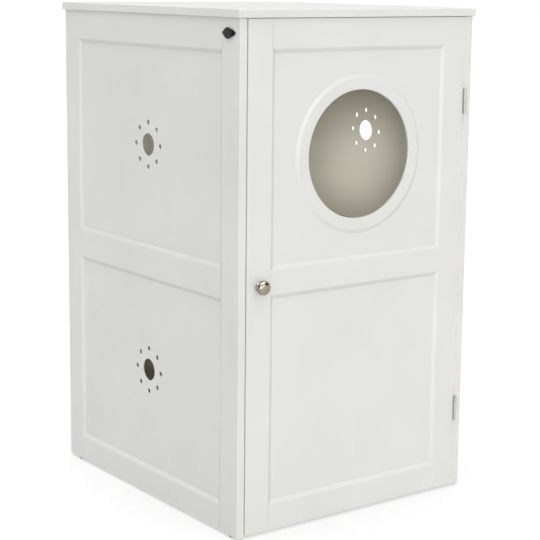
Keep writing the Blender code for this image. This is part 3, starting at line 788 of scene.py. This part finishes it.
def fill_ramp(ramp, stops):
    """Gives a new colour ramp its (position, colour) stops, in rising order."""
    first, last = ramp.elements
    first.position, last.position = stops[0][0], stops[-1][0]
    for position, _ in stops[1:-1]:
        ramp.elements.new(position)
    for element, (_, colour) in zip(ramp.elements, stops):
        element.color = (*colour, 1)


class Look:
    """A Principled material whose nodes read the object's own coordinates."""

    def __init__(self, name, metallic=0.0, glow=0.0, gloss=0.5):
        self.material = bpy.data.materials.new(name)
        self.material.use_nodes = True
        self.tree = self.material.node_tree
        self.shader = self.tree.nodes["Principled BSDF"]
        self.shader.inputs["Metallic"].default_value = metallic
        self.shader.inputs["Specular IOR Level"].default_value = gloss
        self.shader.inputs["Emission Color"].default_value = (1, 1, 1, 1)
        self.shader.inputs["Emission Strength"].default_value = glow
        self.coordinates = self.tree.nodes.new("ShaderNodeTexCoord").outputs["Object"]

    def node(self, kind, **settings):
        made = self.tree.nodes.new("ShaderNode" + kind)
        for key, value in settings.items():
            setattr(made, key, value)
        return made

    def link(self, output, target):
        self.tree.links.new(output, target)

    def stretched(self, scale, location=(0, 0, 0)):
        """The object's coordinates, scaled unevenly."""
        mapping = self.node("Mapping")
        mapping.inputs["Scale"].default_value = scale
        mapping.inputs["Location"].default_value = location
        self.link(self.coordinates, mapping.inputs["Vector"])
        return mapping.outputs["Vector"]

    def noise(self, scale, detail=3.0, roughness=0.5, vector=None):
        made = self.node("TexNoise")
        made.inputs["Scale"].default_value = scale
        made.inputs["Detail"].default_value = detail
        made.inputs["Roughness"].default_value = roughness
        self.link(vector or self.coordinates, made.inputs["Vector"])
        return made.outputs["Fac"]

    def ranged(self, value, low, high, start=0.3, end=0.7):
        """A texture's value, spread from low to high."""
        made = self.node("MapRange")
        made.inputs["From Min"].default_value = start
        made.inputs["From Max"].default_value = end
        made.inputs["To Min"].default_value = low
        made.inputs["To Max"].default_value = high
        self.link(value, made.inputs["Value"])
        return made.outputs["Result"]

    def colours(self, value, stops):
        """A colour ramp over (position, colour) stops."""
        made = self.node("ValToRGB")
        fill_ramp(made.color_ramp, stops)
        self.link(value, made.inputs["Fac"])
        return made.outputs["Color"]

    def mixed(self, factor, a, b, blend="MIX"):
        """Two colours mixed; factor may be a number."""
        made = self.node("Mix", data_type="RGBA", blend_type=blend)
        if isinstance(factor, (int, float)):
            made.inputs["Factor"].default_value = factor
        else:
            self.link(factor, made.inputs["Factor"])
        self.link(a, made.inputs[MIX_A])
        self.link(b, made.inputs[MIX_B])
        return made.outputs[MIX_RESULT]

    def paint(self, colour):
        self.link(colour, self.shader.inputs["Base Color"])

    def rough(self, value):
        self.link(value, self.shader.inputs["Roughness"])

    def bump(self, *layers):
        """Bumps of (height, strength, distance), each on top of the one before."""
        normal = None
        for height, strength, distance in layers:
            made = self.node("Bump")
            made.inputs["Strength"].default_value = strength
            made.inputs["Distance"].default_value = distance
            self.link(height, made.inputs["Height"])
            if normal is not None:
                self.link(normal, made.inputs["Normal"])
            normal = made.outputs["Normal"]
        self.link(normal, self.shader.inputs["Normal"])


def white_lacquer():
    """Sprayed satin lacquer: faint mottling, fine orange peel, and a slow waviness."""
    look = Look("white_lacquer")
    mottling = look.noise(7.0, 4.0, 0.55)
    look.paint(look.colours(mottling, [(0.30, (0.370, 0.370, 0.356)), (0.72, (0.389, 0.389, 0.374))]))
    look.rough(look.ranged(look.noise(60.0, 2.0), 0.36, 0.46))
    look.bump((look.noise(18.0, 1.0), 0.05, 0.0006), (look.noise(520.0, 2.0), 0.10, 0.00012))
    return look.material


def inner_lacquer_painted_light():
    """The inner faces of sides, back, shelf and floor: the same white paint with a faint fibre, made
    far brighter and warmer than the outer lacquer as painted light inside.
    """
    look = Look("inner_lacquer_painted_light")
    fibre = look.noise(9.0, 5.0, 0.6, look.stretched((1.0, 1.0, 6.0)))
    # painted light: these whites are far brighter and warmer than the outer lacquer's, to light the
    # inside
    look.paint(look.colours(fibre, [(0.30, (0.895, 0.858, 0.740)), (0.72, (0.915, 0.880, 0.765))]))
    look.rough(look.ranged(look.noise(90.0, 2.0), 0.50, 0.62))
    look.bump((look.noise(700.0, 2.0), 0.12, 0.00010))
    return look.material


def back_board():
    """Painted hardboard with the faint weave that its press leaves."""
    look = Look("back_board")
    clouds = look.noise(5.0, 5.0, 0.6)
    look.paint(look.colours(clouds, [(0.28, (0.420, 0.408, 0.372)), (0.74, (0.450, 0.439, 0.404))]))
    weave = []
    for direction in ("X", "Z"):
        wave = look.node("TexWave", wave_type="BANDS", bands_direction=direction)
        wave.inputs["Scale"].default_value = 170.0
        wave.inputs["Distortion"].default_value = 0.6
        look.link(look.coordinates, wave.inputs["Vector"])
        weave.append(wave.outputs["Color"])
    crossing = look.mixed(1.0, weave[0], weave[1], "MULTIPLY")
    look.rough(look.ranged(look.noise(110.0, 3.0), 0.55, 0.72))
    look.bump((crossing, 0.22, 0.00015), (look.noise(420.0, 3.0), 0.15, 0.00012))
    return look.material


def steel(name, tint, dull, bright):
    """Plated steel with drawn lines along its height."""
    look = Look(name, metallic=1.0)
    drawn = look.noise(900.0, 3.0, 0.6, look.stretched((1.0, 1.0, 0.06)))
    clouds = look.noise(140.0, 3.0)
    darker = tuple(0.82 * value for value in tint)
    look.paint(look.colours(clouds, [(0.30, darker), (0.70, tint)]))
    look.rough(look.ranged(drawn, bright, dull))
    look.bump((drawn, 0.10, 0.00004))
    return look.material


def knob_nickel():
    """Polished nickel with the fine rings of its turning and a few soft marks; its colour is darkened
    and browned as painted reflection.
    """
    look = Look("knob_nickel", metallic=1.0)
    centre = middle(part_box("knob"))
    wave = look.node("TexWave", wave_type="RINGS", rings_direction="Y")
    wave.inputs["Scale"].default_value = 420.0
    look.link(look.stretched((1, 1, 1), -centre), wave.inputs["Vector"])
    clouds = look.noise(220.0, 3.0)
    # painted reflection: the nickel is made dark and brown, to stand in for dark, brownish reflections
    look.paint(look.colours(clouds, [(0.30, (0.270, 0.235, 0.185)), (0.70, (0.350, 0.312, 0.255))]))
    look.rough(look.ranged(look.noise(500.0, 2.0), 0.09, 0.17))
    look.bump((wave.outputs["Fac"], 0.03, 0.00002))
    return look.material


def moulded(name, dark, light, dull, grain, gloss=0.5):
    """Moulded plastic with the fine grain of its mould."""
    look = Look(name, gloss=gloss)
    look.paint(look.colours(look.noise(180.0, 3.0), [(0.30, dark), (0.70, light)]))
    look.rough(look.ranged(look.noise(900.0, 2.0), dull - 0.06, dull + 0.06))
    look.bump((look.noise(grain, 2.0), 0.18, 0.00006))
    return look.material


def ferrite():
    """Sintered ferrite: dark, dull, and speckled."""
    look = Look("magnet", metallic=0.4)
    speckle = look.noise(1800.0, 2.0, 0.7)
    look.paint(look.colours(speckle, [(0.40, (0.055, 0.055, 0.058)), (0.75, (0.150, 0.150, 0.155))]))
    look.rough(look.ranged(speckle, 0.45, 0.65))
    look.bump((speckle, 0.25, 0.00008))
    return look.material


def beech():
    """Beech dowel: long grain with short dark flecks."""
    look = Look("beech")
    grain = look.noise(260.0, 4.0, 0.6, look.stretched((1.0, 1.0, 0.10)))
    flecks = look.noise(900.0, 1.0, 0.4, look.stretched((1.0, 1.0, 0.25)))
    wood = look.colours(grain, [(0.25, (0.46, 0.31, 0.17)), (0.75, (0.64, 0.47, 0.29))])
    spots = look.colours(flecks, [(0.62, (1.0, 1.0, 1.0)), (0.74, (0.62, 0.52, 0.42))])
    look.paint(look.mixed(0.8, wood, spots, "MULTIPLY"))
    look.rough(look.ranged(grain, 0.55, 0.75))
    look.bump((grain, 0.20, 0.0001))
    return look.material


def build_looks():
    black = ((0.006, 0.006, 0.006), (0.011, 0.011, 0.0105))
    white = ((0.76, 0.76, 0.74), (0.80, 0.80, 0.785))
    grey = ((0.12, 0.12, 0.12), (0.17, 0.17, 0.165))
    return {
        "white_lacquer": white_lacquer(),
        "inner_lacquer_painted_light": inner_lacquer_painted_light(),
        "back_board": back_board(),
        "hinge_steel": steel("hinge_steel", (0.45, 0.44, 0.40), dull=0.72, bright=0.60),
        "screw_steel": steel("screw_steel", (0.66, 0.66, 0.65), dull=0.36, bright=0.22),
        "knob_nickel": knob_nickel(),
        "magnet": ferrite(),
        "black_plastic": moulded("black_plastic", *black, dull=0.46, grain=1500.0, gloss=0.22),
        "white_plastic": moulded("white_plastic", *white, dull=0.42, grain=1200.0),
        "grey_plastic": moulded("grey_plastic", *grey, dull=0.52, grain=1200.0),
        "beech": beech(),
    }


# Studio -----------------------------------------------------------------------------------------

VIEW_AZIMUTH = math.radians(-36.77)
VIEW_ELEVATION = math.radians(10.04)
VIEW_ROLL = math.radians(0.65)
VIEW_POINT = (-1.66505, -2.2756, 0.9516)
LENS_MM = 100.05
SHIFT = (-0.0159, -0.0506)

# Light by direction: (elevation, level), then patches of (azimuth, elevation, radius of the full
# part, radius where it ends, level), all in degrees
SKY = ((0, 1.01), (9, 1.01), (14, 0.15), (42, 0.15), (58, 4.7), (90, 4.7))
SKY_PEAK = 4.7
PATCHES = (
    (5, 21, 6, 26, 2.4), (-45, 25, 6, 28, 1.0), (-135, 38, 6, 28, 1.2),
    (-35, 9, 4, 15, 22.0),
)

FLOOR_RADIUS = 40.0
FLOOR_SEGMENTS = 96
FLOOR_GLOW = 0.54  # the sweep is lit from below as well, so that hardly any shadow shows
FLOOR_DROP = 0.0004  # below the glides, so that the surfaces don't coincide


def direction_to(azimuth, elevation):
    """The direction from the object to a place at an azimuth, 0 in front, and an elevation."""
    flat = math.cos(elevation)
    return Vector((math.sin(azimuth) * flat, -math.cos(azimuth) * flat, math.sin(elevation)))


def build_camera():
    data = bpy.data.cameras.new("camera")
    data.lens = LENS_MM
    data.shift_x, data.shift_y = SHIFT
    camera = bpy.data.objects.new("camera", data)
    bpy.context.scene.collection.objects.link(camera)
    back = direction_to(VIEW_AZIMUTH, VIEW_ELEVATION)
    right = Vector((math.cos(VIEW_AZIMUTH), math.sin(VIEW_AZIMUTH), 0))
    turn = Matrix((right, back.cross(right), back)).transposed()
    camera.matrix_world = Matrix.Translation(VIEW_POINT) @ (
        turn @ Matrix.Rotation(VIEW_ROLL, 3, "Z")).to_4x4()
    bpy.context.scene.camera = camera


def build_floor():
    mesh = bmesh.new()
    bmesh.ops.create_circle(mesh, cap_ends=True, radius=FLOOR_RADIUS, segments=FLOOR_SEGMENTS)
    data = bpy.data.meshes.new("floor")
    mesh.to_mesh(data)
    mesh.free()
    floor = bpy.data.objects.new("floor", data)
    floor.location.z = -FLOOR_DROP
    bpy.context.scene.collection.objects.link(floor)
    look = Look("pale_floor", glow=FLOOR_GLOW)
    clouds = look.noise(3.0, 3.0)
    look.paint(look.colours(clouds, [(0.30, (0.215, 0.215, 0.215)), (0.70, (0.225, 0.225, 0.225))]))
    look.rough(look.ranged(look.noise(40.0, 2.0), 0.55, 0.65))
    data.materials.append(look.material)


def build_world():
    """Soft light by direction: a bright horizon and ceiling, and patches in front and at the left."""
    world = bpy.data.worlds.new("studio")
    world.use_nodes = True
    bpy.context.scene.world = world
    tree = world.node_tree
    background = tree.nodes["Background"]
    direction = tree.nodes.new("ShaderNodeTexCoord").outputs["Generated"]
    split = tree.nodes.new("ShaderNodeSeparateXYZ")
    ramp = tree.nodes.new("ShaderNodeValToRGB")
    stops = [(math.sin(math.radians(elevation)), [level / SKY_PEAK] * 3) for elevation, level in SKY]
    fill_ramp(ramp.color_ramp, stops)
    tree.links.new(direction, split.inputs["Vector"])
    tree.links.new(split.outputs["Z"], ramp.inputs["Fac"])
    total = tree.nodes.new("ShaderNodeMath")
    total.operation = "MULTIPLY"
    total.inputs[1].default_value = SKY_PEAK
    tree.links.new(ramp.outputs["Color"], total.inputs[0])
    for azimuth, elevation, inner, outer, level in PATCHES:
        facing = tree.nodes.new("ShaderNodeVectorMath")
        facing.operation = "DOT_PRODUCT"
        facing.inputs[1].default_value = direction_to(math.radians(azimuth), math.radians(elevation))
        tree.links.new(direction, facing.inputs[0])
        spread = tree.nodes.new("ShaderNodeMapRange")
        spread.interpolation_type = "SMOOTHSTEP"
        spread.inputs["From Min"].default_value = math.cos(math.radians(outer))
        spread.inputs["From Max"].default_value = math.cos(math.radians(inner))
        spread.inputs["To Max"].default_value = level
        tree.links.new(facing.outputs["Value"], spread.inputs["Value"])
        added = tree.nodes.new("ShaderNodeMath")
        added.operation = "ADD"
        tree.links.new(total.outputs[0], added.inputs[0])
        tree.links.new(spread.outputs["Result"], added.inputs[1])
        total = added
    tree.links.new(total.outputs[0], background.inputs["Color"])


def build_studio():
    build_camera()
    build_floor()
    build_world()
    bpy.context.scene.view_settings.view_transform = "Standard"
    bpy.context.scene.cycles.diffuse_bounces = 12


# The whole scene --------------------------------------------------------------------------------


def build():
    looks = build_looks()
    for board in (
        Framed("left", 1, -1, "front_stile", "back_stile"),
        Framed("right", 1, 1, "front_stile", "back_stile"),
        Framed("door", 0, -1, "lock_stile", "hinge_stile"),
    ):
        build_framed(board, looks)
    build_boards(looks)
    build_collar(looks)
    build_knob(looks)
    build_hinges(looks)
    build_peg(looks)
    build_catch(looks)
    build_glides(looks)
    for name, node in frame["nodes"].items():
        if name.endswith("_dowel"):
            node.material_slots[0].link = "OBJECT"
            node.material_slots[0].material = looks["beech"]
    build_studio()


build()
